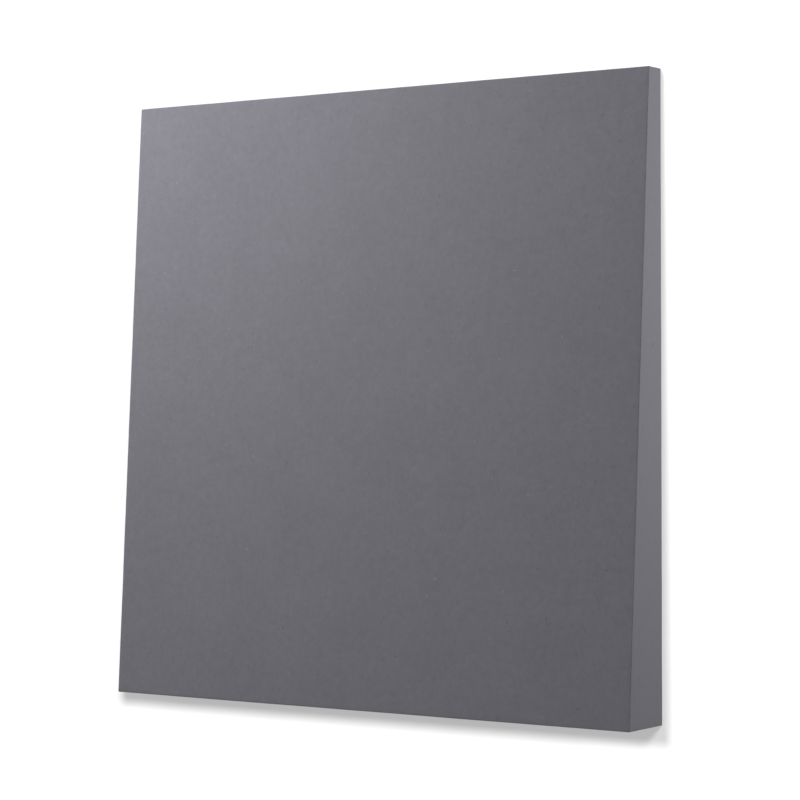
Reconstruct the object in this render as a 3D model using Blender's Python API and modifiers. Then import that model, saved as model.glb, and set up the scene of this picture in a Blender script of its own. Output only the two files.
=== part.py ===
"""A square acoustic wall panel, pressed from polyester fibre in one piece and cut to a taper.

Units are metres and +Z is up. The back is plumb and lies in the plane Y = 0, which is the wall.
The front faces -Y and leans back as it rises, so the panel is thin at its head and thick at its
foot. Head and foot are level, and both sides are upright. The origin is the middle of the back.
"""

import math

import bpy

# The panel's outline on the wall
PANEL_WIDTH = 0.600
PANEL_HEIGHT = 0.600

# How far the front stands off the wall along the head and along the foot
HEAD_DEPTH = 0.022
FOOT_DEPTH = 0.061

# The knife-cut edges are only just broken
EDGE_RADIUS = 0.001
EDGE_SEGMENTS = 4
EDGE_MIN_ANGLE = math.radians(30)

# A curve's caps lie loose against its walls until they are welded
WELD_DISTANCE = 0.00001

# A cap is filled with triangles, which are one flat face again before its edges are broken
SAME_PLANE_ANGLE = math.radians(1)

# Mid grey fibre with a cool tint, fully matt
FIBRE_GREY = (0.171, 0.170, 0.181, 1.0)
FIBRE_ROUGHNESS = 0.95


def clear_scene():
    """Removes every object that a new file starts with."""
    for old in list(bpy.data.objects):
        bpy.data.objects.remove(old, do_unlink=True)


def fibre_material():
    """Pressed polyester fibre, grey and matt."""
    material = bpy.data.materials.new("pressed_fibre")
    material.use_nodes = True
    shader = material.node_tree.nodes["Principled BSDF"]
    shader.inputs["Base Color"].default_value = FIBRE_GREY
    shader.inputs["Roughness"].default_value = FIBRE_ROUGHNESS
    return material


def side_outline():
    """The panel seen along X, as (Y, Z) points: up the plumb back, then down the leaning front."""
    head = PANEL_HEIGHT / 2
    foot = -PANEL_HEIGHT / 2
    return [(0.0, foot), (0.0, head), (-HEAD_DEPTH, head), (-FOOT_DEPTH, foot)]


def make_panel(collection):
    """One closed block: the side outline carried across the width, with every edge broken."""
    outline = bpy.data.curves.new("absorber_panel", "CURVE")
    outline.dimensions = "2D"
    outline.fill_mode = "BOTH"
    outline.extrude = PANEL_WIDTH / 2
    corners = side_outline()
    spline = outline.splines.new("POLY")
    spline.points.add(len(corners) - 1)
    for point, (y, z) in zip(spline.points, corners):
        point.co = (y, z, 0.0, 1.0)
    spline.use_cyclic_u = True
    outline.materials.append(fibre_material())

    panel = bpy.data.objects.new("absorber_panel", outline)
    # Turns the outline's own X and Y to the frame's Y and Z, so that it is carried along X
    panel.rotation_euler = (math.radians(90), 0.0, math.radians(90))
    collection.objects.link(panel)

    weld = panel.modifiers.new("join_caps", "WELD")
    weld.merge_threshold = WELD_DISTANCE
    whole_faces = panel.modifiers.new("whole_faces", "DECIMATE")
    whole_faces.decimate_type = "DISSOLVE"
    whole_faces.angle_limit = SAME_PLANE_ANGLE
    bevel = panel.modifiers.new("broken_edges", "BEVEL")
    bevel.limit_method = "ANGLE"
    bevel.angle_limit = EDGE_MIN_ANGLE
    bevel.width = EDGE_RADIUS
    bevel.segments = EDGE_SEGMENTS
    return panel


def main():
    clear_scene()
    collection = bpy.data.collections.new("acoustic_wall_panel")
    bpy.context.scene.collection.children.link(collection)
    make_panel(collection)


main()
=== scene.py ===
"""The looks of a tapered acoustic wall panel: one block of pressed grey fibre, fixed to a white wall.

Metres, +Z up. The back lies on the wall, the plane Y = 0, and the front faces -Y.
"""

import math
from collections import namedtuple

import bpy
import numpy as np
from mathutils import Euler, Matrix, Vector, noise


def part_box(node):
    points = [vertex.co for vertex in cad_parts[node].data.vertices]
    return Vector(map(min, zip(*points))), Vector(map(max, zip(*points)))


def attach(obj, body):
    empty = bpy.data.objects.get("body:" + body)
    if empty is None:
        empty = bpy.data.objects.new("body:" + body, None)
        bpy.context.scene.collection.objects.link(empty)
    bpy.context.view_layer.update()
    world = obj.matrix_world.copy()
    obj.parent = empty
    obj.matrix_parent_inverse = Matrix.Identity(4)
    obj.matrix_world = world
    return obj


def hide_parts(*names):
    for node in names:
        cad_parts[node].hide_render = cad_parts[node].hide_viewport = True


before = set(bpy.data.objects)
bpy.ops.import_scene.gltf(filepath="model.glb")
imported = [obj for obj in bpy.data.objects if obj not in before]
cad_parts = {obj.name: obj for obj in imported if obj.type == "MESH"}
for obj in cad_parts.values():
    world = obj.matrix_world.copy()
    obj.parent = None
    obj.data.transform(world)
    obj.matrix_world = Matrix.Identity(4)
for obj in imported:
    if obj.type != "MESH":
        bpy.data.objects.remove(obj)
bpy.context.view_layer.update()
PANEL = "absorber_panel"
SEED = 7

# The camera, all but level and to the panel's right
CAMERA_AZIMUTH = math.radians(34.62)
CAMERA_ELEVATION = math.radians(-0.07)
CAMERA_ROLL = math.radians(-0.14)
CAMERA_DISTANCE = 2.5477
CAMERA_TARGET = Vector((0.0097, 0.0001, -0.0021))
CAMERA_LENS = 117.47
CAMERA_SENSOR = 36.0
CAMERA_FAR = 100.0

# The block's mesh: its broken edges, the spacing of its points and how uneven its faces are
EDGE_RADIUS = 0.0010
EDGE_STEPS = 3
FACE_STEP = 0.004
BROAD_RELIEF, BROAD_WAVE = 0.00012, 0.055
FINE_RELIEF, FINE_WAVE = 0.00008, 0.014
# The share of the relief that is left on the back, where it only goes inwards
BACK_RELIEF = 0.3

# The Y of a normal beyond which it is the front's, or the back's
FRONT_NORMAL = -0.99
BACK_NORMAL = 0.5

# Loose fibres that lie on the faces: lengths, radii, the shares of light, plain and dark ones, and how
# many lie on a square metre of each kind of face
FINE_FIBRES = {
    "lengths": (0.0020, 0.0080), "radii": (0.00005, 0.00009), "shares": (0.08, 0.84, 0.08),
    "front": 9300, "back": 6000, "cut": 4500,
}
THICK_FIBRES = {
    "lengths": (0.0015, 0.0045), "radii": (0.00011, 0.00020), "shares": (0.25, 0.20, 0.55),
    "front": 1250, "back": 500, "cut": 60,
}
# A fibre's middle rises off the face, more or less, and its ends sink into it
FIBRE_RISE, FIBRE_RISE_SPREAD = 0.00002, (0.4, 1.2)
FIBRE_SINK = 0.00012
FIBRE_BEND = 0.9
FIBRE_EDGE_MARGIN = 0.0016
FIBRE_SIDES = 4
FIBRE_POINTS = 5

# Colours, as linear values
FELT_GREY = (0.178, 0.175, 0.198)
FIBRE_COLOURS = {
    "light_fibre": (0.340, 0.336, 0.371),
    "plain_fibre": (0.176, 0.173, 0.195),
    "dark_fibre": (0.076, 0.075, 0.084),
}
WHITE = (1.0, 1.0, 1.0, 1.0)

# Noise lies round this value. Needles have less fine detail in them than the rest.
NOISE_MEAN = 0.5
NOISE_DETAIL, NEEDLE_DETAIL = 2.0, 1.0

# How large the felt's clouding, mottling and grain are
CLOUD_SIZE, MOTTLE_SIZE, GRAIN_SIZE = 0.060, 0.0070, 0.0022

# Flecks and streaks are needles of noise: their length and width, and for each layer of them its turn, in
# degrees. The first layer's shift and the step to the next one's keep the layers unlike.
FLECKS = {
    "size": (0.0050, 0.0016), "shift": 0.11, "shift_step": 0.13,
    "turns": ((0, 0, 0), (0, 90, 0), (0, 0, 90), (0, 40, 25), (0, -50, -30)),
}
STREAKS = {
    "size": (0.0100, 0.0032), "shift": -0.29, "shift_step": -0.17,
    "turns": ((0, 8, 0), (0, 82, 10), (20, 0, 85), (0, -38, 20)),
}
SHIFT_WAY = (1.0, 0.7, -1.0)

# The noise at which a fleck starts and at which it is full: high for raised flecks, low for sunk ones
RAISED_NOISE = (0.72, 0.79)
SUNK_NOISE = (0.27, 0.20)

# What each part of the pattern does to the felt's colour, as a share of it, and to its height
COLOUR_WEIGHTS = {"cloud": 0.11, "mottle": 0.18, "streaks": 0.07, "raised": 0.10, "sunk": -0.10}
HEIGHT_WEIGHTS = {"mottle": 1.6, "grain": 0.2, "streaks": 0.7, "raised": 1.6, "sunk": -0.5}
HEIGHT_UNIT = 0.00007
# How much of the pattern the cut faces show
CUT_PATTERN = 0.35

# Gloss and sheen, of the felt and of the loose fibres
FELT_ROUGHNESS, ROUGHNESS_SPREAD, FELT_SPECULAR = 0.92, 0.12, 0.18
FELT_SHEEN, FELT_SHEEN_ROUGHNESS = 0.06, 0.5
FIBRE_ROUGHNESS, FIBRE_SPECULAR = 0.75, 0.25
# How uneven a loose fibre's colour is, and the length that it changes over
FIBRE_UNEVEN, FIBRE_PATCH = 0.5, 0.0025

# The studio's light from all round, and the panel's own lamps: the place, size and power of each
AMBIENT = 0.331
LAMPS = {
    "key_lamp": ((-0.527, -0.657, 0.717), 0.50, 10.90),
    "side_lamp": ((0.806, 0.236, 0.227), 0.60, 3.66),
    "back_lamp": ((-0.90, 1.50, 0.80), 0.90, 30.0),
}

# The stage: how far its wall and floor reach, and how far the floor lies below the panel's foot
STAGE_REACH = 8.0
FLOOR_DROP = 0.17
# The wall stands this clear of the uneven back
WALL_GAP = 0.0006
# Each ground's own glow and how white it is, and what the wall's lights add to its glow
WALL_GLOW, WALL_WHITE = 0.41, 0.25
FLOOR_GLOW, FLOOR_WHITE = 0.55, 0.56
WALL_LEVEL = 0.60
# The wall's two zones of light, which meet behind the panel: the name of each, where it ends and its
# lights. Each light has its share of the level, the way to it and how soft it is.
WALL_ZONES = (
    ("left", 0.215, (
        (1.00, (0.810, -1.0, 0.335), math.radians(10.0)),
    )),
    ("right", STAGE_REACH, (
        (0.67, (-0.119, -1.0, 0.310), math.radians(11.0)),
        (0.33, (0.320, -1.0, 0.365), math.radians(10.5)),
    )),
)

# One flat face of the panel: its kind, its middle, its own three directions, half its width and height,
# and how much less its half width is at its upper end than at its lower one
Face = namedtuple("Face", "kind middle across up outward half_wide half_high narrowing")


def front_depth():
    """The depth of the panel's leaning front at a height, read from the CAD block's front face."""
    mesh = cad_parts[PANEL].data
    on_front = [face for face in mesh.polygons if face.normal.y < FRONT_NORMAL]
    corners = [mesh.vertices[number].co for face in on_front for number in face.vertices]
    foot = min(corners, key=lambda corner: corner.z)
    head = max(corners, key=lambda corner: corner.z)
    slope = (head.y - foot.y) / (head.z - foot.z)
    return lambda z: -(foot.y + slope * (z - foot.z))


def stations(low, high):
    """Places along one side of the block: close together round its edges, even between them."""
    arc = [EDGE_RADIUS * (1 - math.tan(math.pi / 4 * k / EDGE_STEPS)) for k in range(EDGE_STEPS, 0, -1)]
    spans = max(1, round((high - low - 2 * EDGE_RADIUS) / FACE_STEP))
    middle = np.linspace(low + EDGE_RADIUS, high - EDGE_RADIUS, spans + 1)
    return np.concatenate([low + np.array(arc), middle, high - np.array(arc)[::-1]])


def box_faces(index):
    """Quads over the six sides of a lattice of point numbers in x, depth and z, all facing out."""
    sheets = (
        (index[0], True), (index[-1], False),
        (index[:, 0], False), (index[:, -1], True),
        (index[:, :, 0], True), (index[:, :, -1], False),
    )
    quads = []
    for sheet, forward in sheets:
        ring = (sheet[:-1, :-1], sheet[1:, :-1], sheet[1:, 1:], sheet[:-1, 1:])
        ring = ring if forward else ring[::-1]
        quads.append(np.stack(ring, -1).reshape(-1, 4))
    return np.concatenate(quads)


def relief(points, normals):
    """Height of the pressed surface above its true plane: broad unevenness and a finer one."""
    heights = np.empty(len(points))
    for k, point in enumerate(points):
        place = Vector(point)
        broad = BROAD_RELIEF * noise.noise(place / BROAD_WAVE)
        fine = FINE_RELIEF * noise.noise(place / FINE_WAVE)
        heights[k] = broad + fine
    # The back has been pressed flat
    return np.where(normals[:, 1] > BACK_NORMAL, -np.abs(heights) * BACK_RELIEF, heights)


def make_mesh_object(name, points, faces):
    """A new object in the scene, with a mesh of these points and faces."""
    mesh = bpy.data.meshes.new(name)
    mesh.from_pydata(points, [], faces)
    made = bpy.data.objects.new(name, mesh)
    bpy.context.scene.collection.objects.link(made)
    return made


def make_block(depth_at):
    """The block itself: a rounded, tapered box whose faces have a fine uneven relief."""
    low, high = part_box(PANEL)
    full = depth_at(low.z)
    widths, depths, heights = stations(low.x, high.x), stations(0.0, full), stations(low.z, high.z)
    lattice = np.stack(np.meshgrid(widths, depths, heights, indexing="ij"), -1)
    inside = np.zeros(lattice.shape[:3], bool)
    inside[1:-1, 1:-1, 1:-1] = True
    index = np.full(inside.shape, -1)
    index[~inside] = np.arange((~inside).sum())
    points = lattice[~inside]

    # What lies within the edge radius of an edge or corner moves onto its round
    core_low = np.array([low.x, 0.0, low.z]) + EDGE_RADIUS
    core_high = np.array([high.x, full, high.z]) - EDGE_RADIUS
    core = np.clip(points, core_low, core_high)
    away = points - core
    away /= np.linalg.norm(away, axis=1)[:, None]
    x, depth, z = (core + away * EDGE_RADIUS).T

    # The taper moves the front in, and what lies between back and front in proportion
    share = np.clip((depth - EDGE_RADIUS) / (full - 2 * EDGE_RADIUS), 0, 1)
    depth = depth - share * (full - depth_at(z))
    placed = np.stack([x, -depth, z], 1)
    normals = np.stack([away[:, 0], -away[:, 1], away[:, 2]], 1)
    placed += normals * relief(placed, normals)[:, None]

    block = make_mesh_object("felt_block", placed.tolist(), box_faces(index).tolist())
    block.data.shade_smooth()
    return block


def panel_faces(depth_at):
    """The panel's six flat faces: its pressed front and back, and its cut sides, head and foot."""
    low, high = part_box(PANEL)
    head, foot = depth_at(high.z), depth_at(low.z)
    half_wide, half_high, half_deep = (high.x - low.x) / 2, (high.z - low.z) / 2, (head + foot) / 4
    narrowing = (foot - head) / 2
    half_front = math.hypot(half_high, narrowing)
    level = (low.z + high.z) / 2
    x, y, z = Vector((1, 0, 0)), Vector((0, 1, 0)), Vector((0, 0, 1))
    lean = Vector((0.0, foot - head, high.z - low.z)).normalized()

    front, back = Vector((0, -2 * half_deep, level)), Vector((0, 0, level))
    right, left = Vector((high.x, -half_deep, level)), Vector((low.x, -half_deep, level))
    top, bottom = Vector((0, -head / 2, high.z)), Vector((0, -foot / 2, low.z))
    return [
        Face("front", front, x, lean, x.cross(lean), half_wide, half_front, 0.0),
        Face("back", back, -x, z, y, half_wide, half_high, 0.0),
        Face("cut", right, y, z, x, half_deep, half_high, narrowing),
        Face("cut", left, -y, z, -x, half_deep, half_high, narrowing),
        Face("cut", top, x, y, z, half_wide, head / 2, 0.0),
        Face("cut", bottom, x, -y, -z, half_wide, foot / 2, 0.0),
    ]


def fibre_paths(face, lengths, count, random):
    """Short bent fibres on one face: the points along each, and at each point the way across the fibre."""
    length = random.uniform(*lengths, count)
    reach = length / 2 + FIBRE_EDGE_MARGIN
    v = random.uniform(-1, 1, count) * np.maximum(face.half_high - reach, 0)
    slant = face.narrowing * v / (2 * face.half_high)
    room = face.half_wide - slant - reach
    keep = room > 0
    length, v, slant, room = length[keep], v[keep], slant[keep], room[keep]
    kept = len(v)
    # On a side face, which is wide at its foot, the leaning front also moves the middle of each row
    u = random.uniform(-1, 1, kept) * room + np.sign(face.across.y) * slant

    heading = random.uniform(0, 2 * np.pi, kept)
    bend = random.normal(0, FIBRE_BEND, kept)
    along = np.linspace(-0.5, 0.5, FIBRE_POINTS)
    angle = heading[:, None] + bend[:, None] * along
    step = length[:, None] / (FIBRE_POINTS - 1)
    run_u = np.cumsum(np.cos(angle) * step, 1)
    run_v = np.cumsum(np.sin(angle) * step, 1)
    run_u += (u - run_u.mean(1))[:, None]
    run_v += (v - run_v.mean(1))[:, None]
    lift = FIBRE_RISE * (1 - (2 * along) ** 2) * random.uniform(*FIBRE_RISE_SPREAD, kept)[:, None]
    lift = lift - FIBRE_SINK * np.abs(2 * along) ** 3

    across, up, outward = (np.array(way) for way in (face.across, face.up, face.outward))
    path = np.array(face.middle) + run_u[..., None] * across + run_v[..., None] * up
    normals = np.tile(outward, (lift.size, 1))
    ground = relief(path.reshape(-1, 3), normals).reshape(lift.shape)
    path = path + (ground + lift)[..., None] * outward
    sideways = -np.sin(angle)[..., None] * across + np.cos(angle)[..., None] * up
    return path, sideways


def tube_faces():
    """One fibre's faces, by its own point numbers: its rings' points in turn, then its two tips.

    Each has four corners, so a triangle's last one comes twice.
    """
    rings = FIBRE_POINTS - 2
    last_ring = (rings - 1) * FIBRE_SIDES
    first_tip, last_tip = rings * FIBRE_SIDES, rings * FIBRE_SIDES + 1
    faces = []
    for k in range(FIBRE_SIDES):
        after = (k + 1) % FIBRE_SIDES
        faces.append((first_tip, after, k, k))
        for here in range(0, last_ring, FIBRE_SIDES):
            there = here + FIBRE_SIDES
            faces.append((here + k, here + after, there + after, there + k))
        faces.append((last_ring + k, last_ring + after, last_tip, last_tip))
    return np.array(faces)


def make_fibres(depth_at):
    """Short fibres lying on every face, each a closed tube with pointed ends."""
    random = np.random.default_rng(SEED)
    turns = np.arange(FIBRE_SIDES) * 2 * np.pi / FIBRE_SIDES
    tube = tube_faces()
    tube_points = tube.max() + 1
    points, faces, shades, start = [], [], [], 0
    jobs = [(face, sort) for face in panel_faces(depth_at) for sort in (FINE_FIBRES, THICK_FIBRES)]
    for face, sort in jobs:
        area = 4 * face.half_wide * face.half_high
        path, sideways = fibre_paths(face, sort["lengths"], round(area * sort[face.kind]), random)
        count = len(path)
        radius = random.uniform(*sort["radii"], count)[:, None, None, None]
        level_part = sideways[:, 1:-1, None] * np.cos(turns)[:, None]
        raised_part = np.array(face.outward) * np.sin(turns)[:, None]
        rings = path[:, 1:-1, None] + radius * (level_part + raised_part)
        tubes = np.concatenate([rings.reshape(count, -1, 3), path[:, :1], path[:, -1:]], 1)
        points.append(tubes.reshape(-1, 3))
        faces.append((tube + start + tube_points * np.arange(count)[:, None, None]).reshape(-1, 4))
        shades.append(np.repeat(random.choice(len(FIBRE_COLOURS), count, p=sort["shares"]), len(tube)))
        start += tube_points * count

    # A triangle's repeated corner goes
    corners = [tuple(dict.fromkeys(face)) for face in np.concatenate(faces).tolist()]
    fibres = make_mesh_object("felt_fibres", np.concatenate(points).tolist(), corners)
    fibres.data.polygons.foreach_set("material_index", np.concatenate(shades).astype(np.int32))
    fibres.data.shade_smooth()
    return fibres


class Nodes:
    """Short calls for building the nodes of one material, or of the world."""

    def __init__(self, owner):
        owner.use_nodes = True
        self.tree = owner.node_tree

    def add(self, kind, **settings):
        """A new node of a kind, with its settings."""
        node = self.tree.nodes.new(kind)
        for name, value in settings.items():
            setattr(node, name, value)
        return node

    def link(self, output, target):
        """Leads one node's output to another's input."""
        self.tree.links.new(output, target)

    def compute(self, operation, a, b=0.0):
        """One operation on two values, each a number or another node's output."""
        node = self.add("ShaderNodeMath", operation=operation)
        for socket, value in zip(node.inputs, (a, b)):
            if isinstance(value, (int, float)):
                socket.default_value = value
            else:
                self.link(value, socket)
        return node.outputs[0]

    def weigh(self, base, *parts):
        """The base and each part times its weight, added up."""
        total = base
        for value, weight in parts:
            total = self.compute("ADD", self.compute("MULTIPLY", value, weight), total)
        return total

    def noise(self, place, scale, detail):
        """Soft noise over a place, with this many waves to its unit."""
        node = self.add("ShaderNodeTexNoise")
        node.inputs["Scale"].default_value = scale
        node.inputs["Detail"].default_value = detail
        self.link(place, node.inputs["Vector"])
        return node.outputs["Fac"]

    def waves(self, place, size):
        """Noise of one size that lies round 0."""
        return self.compute("SUBTRACT", self.noise(place, 1 / size, NOISE_DETAIL), NOISE_MEAN)

    def needles(self, place, sort):
        """A sort's layers of noise, each drawn out in one direction, with peaks like short fibres."""
        length, width = sort["size"]
        layers = []
        for k, turn in enumerate(sort["turns"]):
            shift = sort["shift"] + sort["shift_step"] * k
            node = self.add("ShaderNodeMapping", vector_type="TEXTURE")
            node.inputs["Rotation"].default_value = [math.radians(angle) for angle in turn]
            node.inputs["Scale"].default_value = (length, width, width)
            node.inputs["Location"].default_value = [shift * part for part in SHIFT_WAY]
            self.link(place, node.inputs["Vector"])
            layers.append(self.noise(node.outputs["Vector"], 1.0, NEEDLE_DETAIL))
        return layers

    def above(self, value, start, full):
        """0 up to start, rising to 1 at full, which may also lie below start."""
        node = self.add("ShaderNodeMapRange")
        node.inputs["From Min"].default_value = start
        node.inputs["From Max"].default_value = full
        self.link(value, node.inputs["Value"])
        return node.outputs["Result"]

    def tint(self, colour, factor, target):
        """Gives the target the colour times the factor."""
        node = self.add("ShaderNodeVectorMath", operation="SCALE")
        node.inputs[0].default_value = colour
        self.link(factor, node.inputs["Scale"])
        self.link(node.outputs["Vector"], target)

    def seen(self):
        """1 on the camera's rays and those of gloss and glass, which show what lies behind."""
        rays = self.add("ShaderNodeLightPath").outputs
        direct = self.compute("MAXIMUM", rays["Is Camera Ray"], rays["Is Glossy Ray"])
        return self.compute("MAXIMUM", direct, rays["Is Transmission Ray"])


def felt_pattern(nodes, place):
    """The parts of the felt's pattern, by name."""
    raised, sunk = 0.0, 0.0
    for layer in nodes.needles(place, FLECKS):
        raised = nodes.compute("MAXIMUM", nodes.above(layer, *RAISED_NOISE), raised)
        sunk = nodes.compute("MAXIMUM", nodes.above(layer, *SUNK_NOISE), sunk)
    streaks = -NOISE_MEAN * len(STREAKS["turns"])
    for layer in nodes.needles(place, STREAKS):
        streaks = nodes.compute("ADD", layer, streaks)
    return {
        "cloud": nodes.waves(place, CLOUD_SIZE),
        "mottle": nodes.waves(place, MOTTLE_SIZE),
        "grain": nodes.waves(place, GRAIN_SIZE),
        "streaks": streaks, "raised": raised, "sunk": sunk,
    }


def felt_material():
    """Pressed fibre: a grey ground, streaked and clouded, with raised light flecks and sunk dark ones."""
    material = bpy.data.materials.new("pressed_fibre_felt")
    nodes = Nodes(material)
    shader = nodes.tree.nodes["Principled BSDF"]
    coordinates = nodes.add("ShaderNodeTexCoord").outputs
    parts = felt_pattern(nodes, coordinates["Object"])

    # The cut sides, head and foot are smoother than the pressed front and back
    facing = nodes.add("ShaderNodeSeparateXYZ")
    nodes.link(coordinates["Normal"], facing.inputs[0])
    pressed = nodes.weigh(CUT_PATTERN, (nodes.compute("ABSOLUTE", facing.outputs["Y"]), 1.0 - CUT_PATTERN))

    pattern = nodes.weigh(0.0, *[(parts[name], weight) for name, weight in COLOUR_WEIGHTS.items()])
    nodes.tint(FELT_GREY, nodes.weigh(1.0, (pattern, pressed)), shader.inputs["Base Color"])

    height = nodes.weigh(0.0, *[(parts[name], weight) for name, weight in HEIGHT_WEIGHTS.items()])
    bump = nodes.add("ShaderNodeBump")
    bump.inputs["Distance"].default_value = HEIGHT_UNIT
    nodes.link(nodes.compute("MULTIPLY", height, pressed), bump.inputs["Height"])
    nodes.link(bump.outputs["Normal"], shader.inputs["Normal"])

    nodes.link(nodes.weigh(FELT_ROUGHNESS, (parts["grain"], ROUGHNESS_SPREAD)), shader.inputs["Roughness"])
    shader.inputs["Specular IOR Level"].default_value = FELT_SPECULAR
    shader.inputs["Sheen Weight"].default_value = FELT_SHEEN
    shader.inputs["Sheen Roughness"].default_value = FELT_SHEEN_ROUGHNESS
    return material


def fibre_material(name, colour):
    """One shade of loose fibre, a little uneven along its length."""
    material = bpy.data.materials.new(name)
    nodes = Nodes(material)
    shader = nodes.tree.nodes["Principled BSDF"]
    place = nodes.add("ShaderNodeTexCoord").outputs["Object"]
    factor = nodes.weigh(1.0, (nodes.waves(place, FIBRE_PATCH), FIBRE_UNEVEN))
    nodes.tint(colour, factor, shader.inputs["Base Color"])
    shader.inputs["Roughness"].default_value = FIBRE_ROUGHNESS
    shader.inputs["Specular IOR Level"].default_value = FIBRE_SPECULAR
    return material


def stage_material(name, glow, white):
    """A pale ground, seen only from its own side, that takes shadows and never shades the panel."""
    material = bpy.data.materials.new(name)
    nodes = Nodes(material)
    nodes.tree.nodes.remove(nodes.tree.nodes["Principled BSDF"])
    behind = nodes.add("ShaderNodeNewGeometry").outputs["Backfacing"]
    shown = nodes.compute("MULTIPLY", nodes.seen(), nodes.compute("SUBTRACT", 1.0, behind))
    emission = nodes.add("ShaderNodeEmission")
    emission.inputs["Strength"].default_value = glow
    diffuse = nodes.add("ShaderNodeBsdfDiffuse")
    diffuse.inputs["Color"].default_value = (white, white, white, 1.0)
    ground = nodes.add("ShaderNodeAddShader")
    nodes.link(emission.outputs[0], ground.inputs[0])
    nodes.link(diffuse.outputs[0], ground.inputs[1])
    mix = nodes.add("ShaderNodeMixShader")
    nodes.link(shown, mix.inputs[0])
    nodes.link(nodes.add("ShaderNodeBsdfTransparent").outputs[0], mix.inputs[1])
    nodes.link(ground.outputs[0], mix.inputs[2])
    nodes.link(mix.outputs[0], nodes.tree.nodes["Material Output"].inputs["Surface"])
    return material


def make_ground(name, corners, material):
    """One flat piece of the stage, which faces the side that its corners turn round to."""
    ground = make_mesh_object(name, corners, [(0, 1, 2, 3)])
    ground.data.materials.append(material)
    return ground


def make_stage():
    """A pale floor, and a white wall behind the panel, lit in zones whose seam the panel hides."""
    low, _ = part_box(PANEL)
    base, far, y = low.z - FLOOR_DROP, STAGE_REACH, WALL_GAP
    floor_white = stage_material("stage_floor", FLOOR_GLOW, FLOOR_WHITE)
    corners = [(-far, -far, base), (far, -far, base), (far, far, base), (-far, far, base)]
    floor = make_ground("stage_floor", corners, floor_white)
    wall_white = stage_material("stage_wall", WALL_GLOW, WALL_WHITE)
    start = -far
    # The first zone's light falls on the floor too
    also_lit = [floor]
    for name, end, lights in WALL_ZONES:
        corners = [(start, y, base), (end, y, base), (end, y, far), (start, y, far)]
        zone = make_ground("stage_wall_" + name, corners, wall_white)
        lit = light_group("lit_" + name, [zone] + also_lit)
        for share, towards, softness in lights:
            make_wall_light("wall_light_" + name, share, towards, softness, lit)
        start = end
        also_lit = []


def light_group(name, members):
    """A collection that names which objects a lamp lights."""
    group = bpy.data.collections.new(name)
    for member in members:
        group.objects.link(member)
    return group


def link_light(name, data, towards, lit):
    """Puts a light into the scene, turned to shine from a direction on what it lights."""
    light = bpy.data.objects.new(name, data)
    light.rotation_euler = (-towards).to_track_quat("-Z", "Y").to_euler()
    light.light_linking.receiver_collection = lit
    bpy.context.scene.collection.objects.link(light)
    return light


def make_lamp(name, place, size, power, lit):
    """A soft square lamp, aimed at the origin, that the camera doesn't see."""
    data = bpy.data.lights.new(name, "AREA")
    data.shape = "SQUARE"
    data.size = size
    data.energy = power
    lamp = link_light(name, data, Vector(place), lit)
    lamp.location = place
    lamp.visible_camera = False


def make_wall_light(name, share, towards, softness, lit):
    """Parallel light that gives its share of the wall's level from any side, with soft-edged shadows."""
    direction = Vector(towards).normalized()
    data = bpy.data.lights.new(name, "SUN")
    data.angle = softness
    data.energy = share * WALL_LEVEL * math.pi / (WALL_WHITE * -direction.y)
    link_light(name, data, direction, lit)


def make_world():
    """Even, soft light from all round, seen as plain white."""
    world = bpy.data.worlds.new("studio")
    bpy.context.scene.world = world
    nodes = Nodes(world)
    ground = nodes.tree.nodes["Background"]
    ground.inputs["Color"].default_value = WHITE
    nodes.link(nodes.weigh(AMBIENT, (nodes.seen(), 1.0 - AMBIENT)), ground.inputs["Strength"])


def make_camera():
    """The scene's camera, where the photograph was taken from."""
    data = bpy.data.cameras.new("camera")
    data.lens = CAMERA_LENS
    data.sensor_width = CAMERA_SENSOR
    data.clip_end = CAMERA_FAR
    camera = bpy.data.objects.new("camera", data)
    turned, raised = CAMERA_AZIMUTH, CAMERA_ELEVATION
    level = Vector((math.sin(turned), -math.cos(turned), 0.0))
    back = level * math.cos(raised) + Vector((0.0, 0.0, math.sin(raised)))
    turn = Euler((math.pi / 2 - raised, 0.0, turned)).to_matrix() @ Matrix.Rotation(CAMERA_ROLL, 3, "Z")
    camera.matrix_world = Matrix.Translation(CAMERA_TARGET + back * CAMERA_DISTANCE) @ turn.to_4x4()
    bpy.context.scene.collection.objects.link(camera)
    bpy.context.scene.camera = camera


def main():
    """The panel, its stage, its light and the camera."""
    bpy.context.scene.view_settings.view_transform = "Standard"
    depth_at = front_depth()

    block = make_block(depth_at)
    block.data.materials.append(felt_material())
    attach(block, "root")
    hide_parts(PANEL)

    fibres = make_fibres(depth_at)
    for name, colour in FIBRE_COLOURS.items():
        fibres.data.materials.append(fibre_material(name, colour))
    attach(fibres, "root")

    make_stage()
    on_panel = light_group("lit_panel", [block, fibres])
    for name, (place, size, power) in LAMPS.items():
        make_lamp(name, place, size, power, on_panel)
    make_world()
    make_camera()


main()
